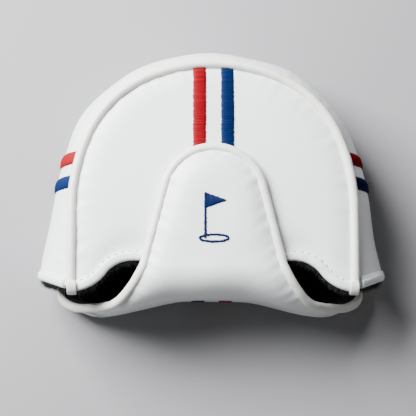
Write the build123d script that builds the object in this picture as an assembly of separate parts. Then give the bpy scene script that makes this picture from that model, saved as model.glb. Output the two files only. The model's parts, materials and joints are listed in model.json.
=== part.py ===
"""Soft cover for the head of a mallet putter, lying on its sole with its mouth towards -Y.

A padded pouch (crown, gusset and sole) takes the putter head through the mouth. A flap, which is the
sole panel carried on, rolls up over the mouth and lies on the crown, where hidden magnets hold it.
The sheet is split at its two folds, so that the flap can open as two hinged rigid pieces.
Every wall is three layers: a leather skin, a foam pad and a plush lining. Sizes are in millimetres.
"""

import os
from math import atan, cos, degrees, radians, sin, sqrt

from build123d import *

# Layers of every wall, from the outside inwards.
LEATHER = 1.2
FOAM = 2.0
PLUSH = 2.3

# The pouch, from the outer face of the sole to the outer face of the crown.
POUCH_HEIGHT = 43.5
BULGE_HEIGHT = 25.0  # height of the gusset's widest line

# Each seam is a line, three tangent arcs and their mirror image. The crown seam's arcs turn by these angles.
# The bulge and sole outlines are the same arcs moved outwards, with a shorter last turn so that they flare.
CROWN_REAR = 47.0
ARC_RADII = (70.0, 49.0, 80.0)
ARC_TURNS = (22.5, 45.0, 22.5)
BULGE_SPREAD = 8.0
BULGE_LAST_TURN = 13.0
SOLE_SPREAD = 3.0
SOLE_LAST_TURN = 17.0

# The mouth: where the crown and the gusset stop.
CROWN_MOUTH_CORNER = -49.0
CROWN_MOUTH_MIDDLE = -36.0
CROWN_MOUTH_FLAT = 34.0  # half-width of the straight middle of the crown's edge
CROWN_MOUTH_CURVE = 26.0  # width of the curve from the middle down to each corner
GUSSET_MOUTH_MIDDLE = -43.6
GUSSET_MOUTH_FOOT = -44.4
GUSSET_FOOT_HEIGHT = 8.6

# The flap, which rolls over the mouth round a lower and an upper fold.
FOLD_CENTRE = -38.5
FOLD_RADIUS = 17.0
FLAP_GAP = 1.2  # between the crown's skin and the flap's lining
FLAP_CREASE = 0.4  # gap between the rigid pieces on each side of a fold
TONGUE_TIP = 10.5
TONGUE_TIP_RADIUS = 21.0
TONGUE_TAPER = 14.5
FLAP_FLARE = 1.4  # power of the curve along which the flap widens, past its taper, down to the sole

# Piping: a cord in a leather sleeve, sewn into the seams.
PIPING_RADIUS = 1.9
PIPING_CORD_RADIUS = 1.1
PIPING_DROP = 1.0  # from the crown's face down to the middle of its piping

# Leather binding folded over the raw edges of the mouth.
BINDING_WIDTH = 3.0
BINDING_LIP = 1.0
BINDING_SKIN = 0.8
BINDING_END = 56.6  # half-width at which the crown's binding meets the piping tabs
BINDING_GAP = 0.4  # from the crown's binding down to the gusset's
TAB_WIDTH = 7.8  # from beside the crown's binding to past the gusset's face
TAB_DEPTH = 4.2
TAB_SKIN = 0.7
TAB_GAP = 0.2  # between a tab and the bindings beside it

# Embroidered stripes.
STRIPE_WIDTH = 5.5
STRIPE_OFFSET = 5.9  # from the middle to the centre of each stripe
STRIPE_HEIGHT = 0.5
GUSSET_STRIPE_MIDDLE = 1.6
GUSSET_STRIPE_OFFSET = 5.2
SEAM_ALLOWANCE = 2.2  # clear leather between a crown or sole stripe and the rear piping
GUSSET_STRIPE_CLEARANCE = 1.2  # between a gusset stripe and the piping above or below it

# Magnets in holes in the foam.
MAGNET_RADIUS = 6.0
MAGNET_THICKNESS = 1.6
MAGNET_CLEARANCE = 0.1
MAGNET_X = 10.5
MAGNET_Y = -3.0

# Embroidered flagstick emblem on the tongue.
EMBLEM_MIDDLE = -19.5
EMBLEM_HEIGHT = 21.0
EMBLEM_THREAD = 1.1
EMBLEM_RELIEF = 0.4
PENNANT_LENGTH = 8.5
PENNANT_HEIGHT = 6.6
GREEN_HALF_WIDTH = 6.6
GREEN_HALF_HEIGHT = 2.0

# Worked out from the sizes above.
WALL = LEATHER + FOAM + PLUSH
TOP = POUCH_HEIGHT + FLAP_GAP + WALL
LAYERS = ((0.0, LEATHER), (LEATHER, LEATHER + FOAM), (LEATHER + FOAM, WALL))
LAYER_NAMES = ("panel", "foam", "lining")
SEAM_INSET = 0.6 * PIPING_RADIUS  # how far inside the middle of its piping a panel of the sheet stops
LOW_FOLD, HIGH_FOLD = FOLD_RADIUS, TOP - FOLD_RADIUS  # heights of the folds' centres
CREASE_ANGLE = 45.0  # where a fold bends, from straight up or down towards the front
TONGUE_ANGLES = (0, 10, 20, 30, 40, 50)
FRONT_FOOT = 90.001  # the flat front lies between 90 degrees and this angle
WRAP_ANGLES = (40, 50, 60, 75, 90, FRONT_FOOT, 105, 120, 130, 140)
FAR = 150.0  # past every face of the object, for cutting shapes
DUST = 0.01  # volume below which an offcut is dropped


def arc_end(x, y, heading, radius, turn):
    """End point and heading of an arc that turns clockwise, with headings in degrees clockwise from +X."""
    before, after = radians(heading), radians(heading + turn)
    return x + radius * (sin(after) - sin(before)), y - radius * (cos(before) - cos(after)), heading + turn


def seam_edges(spread, last_turn, height, front):
    """The open outline of a seam at one height, from the left of the mouth round the rear to the right.

    spread moves the crown's arcs outwards; the sides then run straight to the plane y = front."""
    x, y, heading = 0.0, CROWN_REAR + spread, 0.0
    right = []
    for radius, turn in zip(ARC_RADII, (*ARC_TURNS[:2], last_turn)):
        middle = arc_end(x, y, heading, radius + spread, turn / 2)
        end = arc_end(x, y, heading, radius + spread, turn)
        right.append(((x, y), middle[:2], end[:2]))
        x, y, heading = end
    slope = radians(90.0 - heading)
    foot = (x + (y - front) * sin(slope) / cos(slope), front)
    left = [[(-px, py) for px, py in reversed(points)] for points in reversed(right)]
    edges = [Line((-foot[0], front, height), (-x, y, height))]
    for start, middle, end in (*left, *right):
        edges.append(ThreePointArc((*start, height), (*middle, height), (*end, height)))
    edges.append(Line((x, y, height), (foot[0], front, height)))
    return edges


def seam_face(spread, last_turn, height):
    """The closed face inside a seam outline, carried on well past the mouth."""
    edges = seam_edges(spread, last_turn, height, -FAR / 2)
    closing = Line(edges[-1] @ 1, edges[0] @ 0)
    return make_face(Wire([*edges, closing]))


def block(x0, x1, y0, y1, z0, z1):
    """A box between opposite corners."""
    return Pos((x0 + x1) / 2, (y0 + y1) / 2, (z0 + z1) / 2) * Box(x1 - x0, y1 - y0, z1 - z0)


def side_prism(edges):
    """A closed outline in the YZ plane, carried across the whole width."""
    face = make_face(Wire(edges))
    return extrude(face, amount=FAR, dir=(1, 0, 0), both=True)


def body(inset):
    """Everything inside the pouch's side wall, moved inwards by inset."""
    sections = (
        seam_face(SOLE_SPREAD - inset, SOLE_LAST_TURN, inset),
        seam_face(BULGE_SPREAD - inset, BULGE_LAST_TURN, BULGE_HEIGHT),
        seam_face(-inset, ARC_TURNS[2], POUCH_HEIGHT - inset),
    )
    return loft(list(sections))


def roll(inset):
    """Everything inside the sheet that runs along the sole, round both folds and back over the crown."""
    radius = FOLD_RADIUS - inset
    half = radius / sqrt(2)
    low, high = FOLD_RADIUS, TOP - FOLD_RADIUS
    front = FOLD_CENTRE - radius
    return side_prism([
        Line((0, FAR, inset), (0, FOLD_CENTRE, inset)),
        ThreePointArc((0, FOLD_CENTRE, inset), (0, FOLD_CENTRE - half, low - half), (0, front, low)),
        Line((0, front, low), (0, front, high)),
        ThreePointArc((0, front, high), (0, FOLD_CENTRE - half, high + half), (0, FOLD_CENTRE, TOP - inset)),
        Line((0, FOLD_CENTRE, TOP - inset), (0, FAR, TOP - inset)),
        Line((0, FAR, TOP - inset), (0, FAR, inset)),
    ])


def behind_crown_mouth(offset):
    """Everything behind the crown's mouth edge, with the edge moved forwards by offset."""
    middle, corner = CROWN_MOUTH_MIDDLE - offset, CROWN_MOUTH_CORNER - offset
    drop = CROWN_MOUTH_MIDDLE - CROWN_MOUTH_CORNER
    turn = 2 * atan(drop / CROWN_MOUTH_CURVE)
    radius = CROWN_MOUTH_CURVE / (2 * sin(turn))
    inner, outer = radius - offset, radius + offset
    start = CROWN_MOUTH_FLAT
    end = start + CROWN_MOUTH_CURVE
    half = turn / 2
    waist = (start + inner * sin(turn), middle - inner * (1 - cos(turn)))
    first = (start + inner * sin(half), middle - inner * (1 - cos(half)))
    second = (end - outer * sin(half), corner + outer * (1 - cos(half)))
    right = [
        Line((0, middle), (start, middle)),
        ThreePointArc((start, middle), first, waist),
        ThreePointArc(waist, second, (end, corner)),
        Line((end, corner), (FAR, corner)),
        Line((FAR, corner), (FAR, FAR)),
        Line((FAR, FAR), (0, FAR)),
        Line((0, FAR), (0, middle)),
    ]
    half_face = make_face(Wire(right))
    solid = extrude(half_face, amount=FAR, dir=(0, 0, 1), both=True)
    return solid + mirror(solid, about=Plane.YZ)


def behind_gusset_mouth(offset):
    """Everything behind the gusset's mouth edge, with the edge moved forwards by offset."""
    top = (0, CROWN_MOUTH_CORNER - offset, POUCH_HEIGHT)
    middle = (0, GUSSET_MOUTH_MIDDLE - offset, BULGE_HEIGHT)
    foot = (0, GUSSET_MOUTH_FOOT - offset, GUSSET_FOOT_HEIGHT)
    return side_prism([
        ThreePointArc(foot, middle, top),
        Line(top, (0, CROWN_MOUTH_CORNER - offset, FAR)),
        Line((0, CROWN_MOUTH_CORNER - offset, FAR), (0, FAR, FAR)),
        Line((0, FAR, FAR), (0, FAR, -FAR)),
        Line((0, FAR, -FAR), (0, GUSSET_MOUTH_FOOT - offset, -FAR)),
        Line((0, GUSSET_MOUTH_FOOT - offset, -FAR), foot),
    ])


def sole_half_width(y):
    """Half-width of the sole seam where its sides run straight."""
    edges = seam_edges(SOLE_SPREAD, SOLE_LAST_TURN, 0.0, y)
    return (edges[-1] @ 1).X


def tongue_tip(inset, angle):
    """The point on the tongue's round tip that lies this many degrees round from the right."""
    radius = TONGUE_TIP_RADIUS - inset
    turn = radians(angle)
    return radius * cos(turn), TONGUE_TIP - TONGUE_TIP_RADIUS + radius * sin(turn)


def flap_edge(radius, angles, inset=0.0):
    """Points (half-width, y, z) down the flap's right edge, on a sheet that rolls at this radius.

    angles are degrees from straight up, from 0 at the upper fold's start to 180 at the lower one's end.
    The half-width grows with the length along the sheet, by the tongue's taper and by a steeper curve.
    inset moves the edge inwards."""
    tip_x, tip_y = tongue_tip(inset, TONGUE_TAPER)
    tangent = sin(radians(TONGUE_TAPER)) / cos(radians(TONGUE_TAPER))
    root = tip_x + (tip_y - FOLD_CENTRE) * tangent
    front = TOP - 2 * FOLD_RADIUS
    whole = radians(CREASE_ANGLE + 90) * FOLD_RADIUS + front
    crease_y = FOLD_CENTRE - FOLD_RADIUS * sin(radians(CREASE_ANGLE))
    extra = sole_half_width(crease_y) - inset - root - tangent * whole
    points = []
    for angle in angles:
        length = radians(angle) * FOLD_RADIUS + (front if angle > 90 else 0.0)
        half_width = root + tangent * length + extra * (length / whole) ** FLAP_FLARE
        height = (HIGH_FOLD if angle <= 90 else LOW_FOLD) + radius * cos(radians(angle))
        points.append((half_width, FOLD_CENTRE - radius * sin(radians(angle)), height))
    return points


def front_outline(radius):
    """The wrap's outline seen from the front, carried along Y, for a layer that rolls at this radius."""
    right = [(x, 0, z) for x, y, z in flap_edge(radius, WRAP_ANGLES, SEAM_INSET)]
    left = [(-x, y, z) for x, y, z in reversed(right)]
    face = make_face(Wire([
        Spline(right),
        Line(right[-1], left[0]),
        Spline(left),
        Line(left[-1], right[0]),
    ]))
    return Pos(0, FOLD_CENTRE, 0) * extrude(face, amount=FAR, dir=(0, -1, 0))


def tongue_outline(radius):
    """The tongue's outline seen from above, carried along Z, for a layer that rolls at this radius."""
    tangent = tongue_tip(SEAM_INSET, TONGUE_TAPER)
    shoulder = tongue_tip(SEAM_INSET, (TONGUE_TAPER + 90) / 2)
    tip = tongue_tip(SEAM_INSET, 90)
    right = [(x, y) for x, y, z in flap_edge(radius, TONGUE_ANGLES, SEAM_INSET)]
    left = [(-x, y) for x, y in reversed(right)]
    face = make_face(Wire([
        Line(tangent, right[0]),
        Spline(right),
        Line(right[-1], left[0]),
        Spline(left),
        Line(left[-1], (-tangent[0], tangent[1])),
        ThreePointArc((-tangent[0], tangent[1]), (-shoulder[0], shoulder[1]), tip),
        ThreePointArc(tip, shoulder, tangent),
    ]))
    return extrude(face, amount=FAR, dir=(0, 0, 1))


def past_crease(fold_z, sign, clearance):
    """The region in front of the plane through a fold's centre and crease, moved forwards by clearance.

    sign is -1 for the lower fold and 1 for the upper one."""
    angle = radians(CREASE_ANGLE)
    across = (0, -cos(angle), -sign * sin(angle))
    plane = Plane(origin=(0, FOLD_CENTRE, fold_z), x_dir=(1, 0, 0), z_dir=across)
    return plane * Pos(0, 0, FAR / 2 + clearance) * Box(2 * FAR, 2 * FAR, FAR)


def tube(edges, radius):
    """A round bar of one radius along a chain of edges."""
    path = Wire(edges)
    start = Plane(origin=path @ 0, z_dir=path % 0)
    return sweep(start * Circle(radius), path=path)


def crown_piping_path():
    """Round the crown seam, from one corner of the mouth to the other."""
    return seam_edges(0.0, ARC_TURNS[2], POUCH_HEIGHT - PIPING_DROP, CROWN_MOUTH_CORNER)


def sole_piping_path():
    """Round the sole seam and up its front corners, as far as the lower fold's crease."""
    edges = seam_edges(SOLE_SPREAD, SOLE_LAST_TURN, PIPING_RADIUS, FOLD_CENTRE)
    start, finish, heading = edges[0] @ 0, edges[-1] @ 1, edges[-1] % 1
    x, y, z = flap_edge(FOLD_RADIUS - PIPING_RADIUS, (180 - CREASE_ANGLE,))[0]
    right = TangentArc(finish, (x, y, z), tangent=heading)
    left = TangentArc(start, (-x, y, z), tangent=(-heading.X, heading.Y, heading.Z))
    return [Edge.make_three_point_arc(left @ 1, left @ 0.5, left @ 0), *edges, right]


def wrap_piping_path(side):
    """Up one edge of the flap, from one crease to the other. side is 1 or -1."""
    angles = (CREASE_ANGLE, 65, 90, FRONT_FOOT, 115, 180 - CREASE_ANGLE)
    points = flap_edge(FOLD_RADIUS - PIPING_RADIUS, angles)
    return [Spline([(side * x, y, z) for x, y, z in points])]


def tongue_piping_path():
    """From the upper fold's crease on the left, round the tongue's tip, to the crease on the right."""
    height = TOP - PIPING_RADIUS
    x, y = tongue_tip(0.0, TONGUE_TAPER)
    right = flap_edge(FOLD_RADIUS - PIPING_RADIUS, (0, CREASE_ANGLE / 2, CREASE_ANGLE))
    left = [(-px, py, pz) for px, py, pz in reversed(right)]
    taper = radians(TONGUE_TAPER)
    return [
        Spline(left, tangents=[Vector(*left[1]) - Vector(*left[0]), Vector(sin(taper), cos(taper), 0)]),
        Line(left[-1], (-x, y, height)),
        ThreePointArc((-x, y, height), (0, TONGUE_TIP, height), (x, y, height)),
        Line((x, y, height), right[0]),
        Spline(right, tangents=[Vector(sin(taper), -cos(taper), 0), Vector(*right[2]) - Vector(*right[1])]),
    ]


def piping(paths, trim):
    """The bars cut out for one piping, which may be in several runs, and its leather sleeve and its cord.

    trim cuts a bar's ends off at the creases."""
    bars = [tube(path, PIPING_RADIUS) for path in paths]
    cords = [trim(tube(path, PIPING_CORD_RADIUS)) for path in paths]
    sleeves = [trim(bar) - cord for bar, cord in zip(bars, cords)]
    return bars, sleeves, cords


def largest(shape):
    """A shape without the offcuts beyond its seam."""
    return max(shape.solids(), key=lambda solid: solid.volume)


def write(name, shape):
    """Writes one node: its solids, without the offcuts."""
    pieces = shape if isinstance(shape, list) else [shape]
    solids = [solid for piece in pieces for solid in piece.solids() if solid.volume > DUST]
    assert solids, f"{name} has no solid"
    node = solids[0] if len(solids) == 1 else Compound(children=solids)
    export_step(node, f"parts/{name}.step")


def magnet_pair(middle_z):
    """Two discs side by side."""
    disc = Cylinder(MAGNET_RADIUS, MAGNET_THICKNESS)
    return [Pos(x, MAGNET_Y, middle_z) * disc for x in (-MAGNET_X, MAGNET_X)]


def foam_holes(middle_z):
    """Round holes through a flat foam pad, for its pair of magnets."""
    hole = Cylinder(MAGNET_RADIUS + MAGNET_CLEARANCE, FOAM)
    return [Pos(x, MAGNET_Y, middle_z) * hole for x in (-MAGNET_X, MAGNET_X)]


def make_emblem():
    """A pennant on a stick, standing on an oval green, as raised embroidery."""
    foot = EMBLEM_MIDDLE - EMBLEM_HEIGHT / 2 + GREEN_HALF_HEIGHT
    head = EMBLEM_MIDDLE + EMBLEM_HEIGHT / 2
    pole_x = -PENNANT_LENGTH / 2
    pole = Pos(pole_x, (foot + head) / 2) * Rectangle(EMBLEM_THREAD, head - foot)
    pennant = make_face(Polyline(
        (pole_x, head),
        (pole_x + PENNANT_LENGTH, head - PENNANT_HEIGHT / 2),
        (pole_x, head - PENNANT_HEIGHT),
        close=True,
    ))
    oval = Ellipse(GREEN_HALF_WIDTH, GREEN_HALF_HEIGHT)
    hole = Ellipse(GREEN_HALF_WIDTH - EMBLEM_THREAD, GREEN_HALF_HEIGHT - EMBLEM_THREAD)
    green = Pos(0, foot) * (oval - hole)
    flat = pole + pennant + green
    return Pos(0, 0, TOP) * extrude(flat, amount=EMBLEM_RELIEF)


def main():
    os.makedirs("parts", exist_ok=True)
    insets = (0.0, LEATHER, LEATHER + FOAM, WALL)
    bodies = {t: body(t) for t in insets}
    rolls = {t: roll(t) for t in insets}
    upper = block(-FAR, FAR, -FAR, FAR, BULGE_HEIGHT, FAR)
    pouch = {t: bodies[t] & (rolls[t] + upper) for t in insets}
    crown_keep, gusset_keep = behind_crown_mouth(0.0), behind_gusset_mouth(0.0)
    low_half = block(-FAR, FAR, -FAR, FAR, -FAR, TOP / 2)
    high_half = block(-FAR, FAR, -FAR, FAR, TOP / 2, FAR)
    past_low = past_crease(LOW_FOLD, -1, 0.0)
    past_high = past_crease(HIGH_FOLD, 1, 0.0)
    between = past_crease(LOW_FOLD, -1, FLAP_CREASE) & past_crease(HIGH_FOLD, 1, FLAP_CREASE)
    sole_edge = seam_face(SOLE_SPREAD - SEAM_INSET, SOLE_LAST_TURN, 0.0)
    sole_prism = extrude(sole_edge, amount=FAR, dir=(0, 0, 1))

    crown_bars, crown_sleeve, crown_cord = piping([crown_piping_path()], lambda bar: bar)
    sole_bars, sole_sleeve, sole_cord = piping([sole_piping_path()], lambda bar: bar - past_low)
    wrap_bars, wrap_sleeve, wrap_cord = piping(
        [wrap_piping_path(-1), wrap_piping_path(1)], lambda bar: bar & between
    )
    tongue_bars, tongue_sleeve, tongue_cord = piping([tongue_piping_path()], lambda bar: bar - past_high)

    crown, gusset, sole, wrap, tongue = {}, {}, {}, {}, {}
    for (outer, inner), layer in zip(LAYERS, LAYER_NAMES):
        shell = pouch[outer] - pouch[inner]
        sheet = rolls[outer] - rolls[inner]
        lid = block(-FAR, FAR, -FAR, FAR, POUCH_HEIGHT - inner, FAR)
        lower_sheet = sheet & low_half
        middle = FOLD_RADIUS - (outer + inner) / 2
        crown[layer] = (shell & lid) & crown_keep
        gusset[layer] = ((shell - lid) - lower_sheet) & gusset_keep
        sole[layer] = ((lower_sheet & bodies[outer]) & sole_prism) - past_low
        wrap[layer] = (sheet & between) & front_outline(middle)
        tongue[layer] = ((sheet & high_half) & tongue_outline(middle)) - past_high
        for bars, cut in (
            (crown_bars, (crown, gusset)),
            (sole_bars, (sole, gusset)),
            (wrap_bars, (wrap,)),
            (tongue_bars, (tongue,)),
        ):
            for group in cut:
                for bar in bars:
                    group[layer] = group[layer] - bar

    crown_foam_middle = POUCH_HEIGHT - LEATHER - FOAM / 2
    tongue_foam_middle = TOP - LEATHER - FOAM / 2
    for hole in foam_holes(crown_foam_middle):
        crown["foam"] = crown["foam"] - hole
    for hole in foam_holes(tongue_foam_middle):
        tongue["foam"] = tongue["foam"] - hole

    # Sole stripes lie flush in the skin, so that the sole stands on one flat face.
    band = roll(0.0) - roll(STRIPE_HEIGHT)
    for colour, side in (("red", 1), ("blue", -1)):
        strip = block(
            side * STRIPE_OFFSET - STRIPE_WIDTH / 2, side * STRIPE_OFFSET + STRIPE_WIDTH / 2,
            -FAR, CROWN_REAR + SOLE_SPREAD - PIPING_RADIUS - SEAM_ALLOWANCE, -FAR, TOP / 2,
        )
        inlay = band & strip
        write(f"sole_stripe_{colour}", inlay - past_low)
        write(f"wrap_stripe_{colour}", inlay & between)
        sole["panel"] = sole["panel"] - inlay
        wrap["panel"] = wrap["panel"] - inlay

    groups = {"crown": crown, "gusset": gusset, "sole": sole, "wrap": wrap, "tongue": tongue}
    for name, group in groups.items():
        for layer in LAYER_NAMES:
            write(f"{name}_{layer}", largest(group[layer]))

    for name, sleeve, cord in (
        ("crown", crown_sleeve, crown_cord),
        ("sole", sole_sleeve, sole_cord),
        ("wrap", wrap_sleeve, wrap_cord),
        ("tongue", tongue_sleeve, tongue_cord),
    ):
        write(f"{name}_piping", Compound(children=sleeve))
        write(f"{name}_piping_cord", Compound(children=cord))

    # Crown stripes run from the seam allowance at the rear to the binding at the mouth.
    stripe_rear = CROWN_REAR - PIPING_RADIUS - SEAM_ALLOWANCE
    stripe_front = CROWN_MOUTH_MIDDLE + BINDING_WIDTH
    for colour, side in (("red", -1), ("blue", 1)):
        middle = side * STRIPE_OFFSET
        write(f"crown_stripe_{colour}", block(
            middle - STRIPE_WIDTH / 2, middle + STRIPE_WIDTH / 2,
            stripe_front, stripe_rear, POUCH_HEIGHT, POUCH_HEIGHT + STRIPE_HEIGHT,
        ))

    # Gusset stripes stand up from the side wall.
    raised = body(-STRIPE_HEIGHT) - bodies[0.0]
    stripe_low = 2 * PIPING_RADIUS + GUSSET_STRIPE_CLEARANCE
    stripe_high = POUCH_HEIGHT - PIPING_DROP - PIPING_RADIUS - GUSSET_STRIPE_CLEARANCE
    for colour, step in (("red", 1), ("blue", -1)):
        middle = GUSSET_STRIPE_MIDDLE + step * GUSSET_STRIPE_OFFSET
        for side, x0, x1 in (("left", -FAR, 0), ("right", 0, FAR)):
            write(f"gusset_stripe_{colour}_{side}", raised & block(
                x0, x1, middle - STRIPE_WIDTH / 2, middle + STRIPE_WIDTH / 2, stripe_low, stripe_high
            ))

    # Bindings: a folded strip, open at the back, that takes the raw edge of all three layers.
    strip_z = block(
        -BINDING_END, BINDING_END, -FAR, FAR,
        POUCH_HEIGHT - WALL - BINDING_SKIN, POUCH_HEIGHT + BINDING_SKIN,
    )
    edge_z = block(-FAR, FAR, -FAR, FAR, POUCH_HEIGHT - WALL, POUCH_HEIGHT)
    strip = behind_crown_mouth(BINDING_LIP) - behind_crown_mouth(-BINDING_WIDTH)
    crown_binding = ((strip & strip_z) - (crown_keep & edge_z)) - gusset["lining"]
    for bar in crown_bars:
        crown_binding = crown_binding - bar
    write("crown_binding", crown_binding)

    binding_head = POUCH_HEIGHT - WALL - BINDING_SKIN - BINDING_GAP
    hoop = (body(-BINDING_SKIN) - body(WALL + BINDING_SKIN)) - ((bodies[0.0] - bodies[WALL]) & gusset_keep)
    hoop = hoop & (behind_gusset_mouth(BINDING_LIP) - behind_gusset_mouth(-BINDING_WIDTH))
    hoop = hoop & block(-FAR, FAR, -FAR, FAR, GUSSET_FOOT_HEIGHT, binding_head)
    for side, x0, x1 in (("left", -FAR, 0), ("right", 0, FAR)):
        write(f"gusset_binding_{side}", hoop & block(x0, x1, -FAR, 0, -FAR, FAR))

    # Piping tabs: the piping's sleeve, opened flat and turned over the corner of the mouth.
    tab_low, tab_high = binding_head + TAB_GAP, POUCH_HEIGHT + PIPING_RADIUS - PIPING_DROP
    tab_start = BINDING_END + TAB_GAP
    cover = body(-TAB_SKIN - BINDING_SKIN) & behind_gusset_mouth(BINDING_LIP + TAB_SKIN)
    cover = cover - (bodies[0.0] & crown_keep)
    for side, sign in (("left", -1), ("right", 1)):
        x0, x1 = sorted((sign * tab_start, sign * (tab_start + TAB_WIDTH)))
        tab = cover & block(x0, x1, -FAR, CROWN_MOUTH_CORNER + TAB_DEPTH, tab_low, tab_high)
        for bar in crown_bars:
            tab = tab - bar
        write(f"piping_tab_{side}", largest(tab))

    for name, middle in (("crown_magnets", crown_foam_middle), ("tongue_magnets", tongue_foam_middle)):
        write(name, Compound(children=magnet_pair(middle)))
    write("tongue_emblem", make_emblem())


main()
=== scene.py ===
"""Looks of a padded mallet-putter cover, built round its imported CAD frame.

The cover lies on its sole with its mouth towards -Y. Every wall is a leather skin, a foam pad and a plush
lining that share one surface, so each surface is one function and a layer is a depth below it.
"""

import json
from math import cos, pi, radians, sin, tan

import bmesh
import bpy
import numpy as np
from bpy.props import FloatProperty, FloatVectorProperty, IntProperty, PointerProperty
from mathutils import Matrix, Vector


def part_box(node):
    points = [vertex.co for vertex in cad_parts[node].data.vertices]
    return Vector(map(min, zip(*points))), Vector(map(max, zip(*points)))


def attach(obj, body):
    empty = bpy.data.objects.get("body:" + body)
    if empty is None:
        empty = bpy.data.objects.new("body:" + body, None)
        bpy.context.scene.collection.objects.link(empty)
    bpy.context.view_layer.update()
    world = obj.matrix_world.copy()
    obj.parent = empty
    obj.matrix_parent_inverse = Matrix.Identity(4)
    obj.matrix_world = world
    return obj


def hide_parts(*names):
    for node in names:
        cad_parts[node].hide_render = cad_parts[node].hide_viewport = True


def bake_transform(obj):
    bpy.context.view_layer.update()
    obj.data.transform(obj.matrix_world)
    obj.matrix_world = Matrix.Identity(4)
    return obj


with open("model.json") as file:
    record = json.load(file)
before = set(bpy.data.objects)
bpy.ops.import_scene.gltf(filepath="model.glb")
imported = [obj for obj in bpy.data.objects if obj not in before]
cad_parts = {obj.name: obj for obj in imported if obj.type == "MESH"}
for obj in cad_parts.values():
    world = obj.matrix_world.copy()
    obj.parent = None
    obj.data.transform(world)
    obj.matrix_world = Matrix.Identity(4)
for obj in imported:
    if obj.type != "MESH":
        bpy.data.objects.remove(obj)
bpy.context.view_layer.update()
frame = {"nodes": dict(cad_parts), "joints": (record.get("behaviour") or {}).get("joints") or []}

bl_info = {
    "name": "Mallet putter cover",
    "version": (1, 0, 0),
    "blender": (4, 5, 0),
    "location": "3D View > Sidebar > Cover",
    "description": "Leather, plush, piping and embroidery of a padded cover for a mallet putter",
    "category": "Mesh",
}

MM = 0.001
MADE = {}

# Read from the frame: the crown, the folds and the flap.
CROWN_LOW, CROWN_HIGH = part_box("crown_panel")
PIPING_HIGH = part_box("crown_piping")[1]
TONGUE_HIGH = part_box("tongue_panel")[1]
PIVOT = Vector(frame["joints"][0]["pos_m"])
FOLD = PIVOT.z / (1 - cos(radians(45)))
FOLD_Y = PIVOT.y + FOLD * sin(radians(45))
PIPING = 1.9 * MM
TONGUE_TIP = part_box("tongue_piping")[1].y - PIPING
CROWN_REAR = PIPING_HIGH.y - PIPING

# Three arcs each side of the rear, as radius and turn, make every seam of the pouch.
ARC_RADII = (70.0 * MM, 49.0 * MM, 80.0 * MM)
ARC_TURNS = (radians(22.5), radians(45.0))
CROWN_LAST_TURN = radians(22.5)
BULGE_LAST_TURN = radians(13.0)
SOLE_LAST_TURN = radians(17.0)

# The crown's mouth edge: half its straight middle, then each side's curve and how far that goes back.
MOUTH_FLAT = 34.0 * MM
MOUTH_CURVE = 26.0 * MM
MOUTH_STEP = 13.0 * MM

# The flap widens by its taper each side, and its edge turns through both folds to the sole's crease.
FLAP_TAPER = radians(14.5)
FLAP_TURN = radians(135)

# Sewing. The stitches' place is a share of the hem's half-width.
GUSSET_HALF_LENGTH = 155.0 * MM
HEM_THICKNESS = 3.8 * MM
STITCH_PLACE = 0.68
CORD_RADIUS = 1.1 * MM
SOLE_STRIPE_RELIEF = 0.28 * MM
SOLE_STRIPE_REAR = 49.0 * MM
EMBLEM_RELIEF = 0.45 * MM
EMBLEM_THREAD = 0.36 * MM
FLOOR_LEVEL = -0.3 * MM


def number(name, default, description, unit="NONE"):
    """A number property."""
    return FloatProperty(name=name, description=description, default=default, unit=unit, precision=5)


def length(name, default, description):
    """A size property."""
    return number(name, default, description, "LENGTH")


def colour(name, default, description):
    """A colour property, as linear red, green and blue."""
    return FloatVectorProperty(
        name=name, description=description, default=default, subtype="COLOR", min=0, max=1
    )


class CoverSizes(bpy.types.PropertyGroup):
    """Sizes that the frame doesn't give, and how soft the leather looks."""

    leather: length("Leather", 1.2 * MM, "Thickness of the leather skin")
    foam: length("Foam", 2.0 * MM, "Thickness of the foam pad")
    plush: length("Plush", 2.3 * MM, "Thickness of the plush lining")
    bulge_spread: length("Bulge", 8.0 * MM, "How far the gusset stands out past the crown seam")
    bulge_height: length("Bulge height", 25.0 * MM, "Height of the gusset's widest line")
    sole_spread: length("Sole spread", 3.0 * MM, "How far the sole seam stands out past the crown seam")
    dome: length("Dome", 1.3 * MM, "Rise of the padded crown in its middle")
    tip_radius: length("Tongue tip radius", 21.0 * MM, "Radius of the tongue's round tip")
    hem_width: length("Hem", 4.9 * MM, "Width of the bound hem round the mouth")
    wrap_hollow: length("Wrap hollow", 2.6 * MM, "How far the middle of the wrap is drawn in")
    wrap_lobe: length("Wrap lobe", 4.4 * MM, "How far the wrap stands out at its two lobes")
    stripe: length("Stripe", 5.5 * MM, "Width of each embroidered stripe")
    stripe_offset: length("Stripe offset", 5.9 * MM, "From the middle to the centre of each stripe")
    stripe_relief: length("Stripe relief", 1.0 * MM, "How far the embroidery stands up")
    thread: length("Thread", 0.42 * MM, "Pitch of the embroidery's threads")
    pucker: length("Pucker", 0.16 * MM, "Depth of the small gathers beside the seams")
    pile: length("Pile", 1.9 * MM, "Length of the plush lining's pile")


class CoverColours(bpy.types.PropertyGroup):
    """Colours of the cover's materials."""

    leather: colour("Leather", (0.80, 0.83, 0.84), "Smooth white leather")
    piping: colour("Piping", (0.765, 0.765, 0.725), "Warm white piping leather")
    plush: colour("Plush", (0.006, 0.006, 0.008), "Black plush lining")
    red: colour("Red thread", (0.21, 0.0004, 0.006), "Red embroidery thread")
    blue: colour("Blue thread", (0.0, 0.010, 0.060), "Blue embroidery thread")
    emblem: colour("Emblem thread", (0.0, 0.006, 0.05), "Dark blue thread of the emblem")
    foam: colour("Foam", (0.75, 0.72, 0.62), "Foam pads")
    floor: colour("Floor", (0.285, 0.285, 0.298), "Plain floor")


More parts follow.
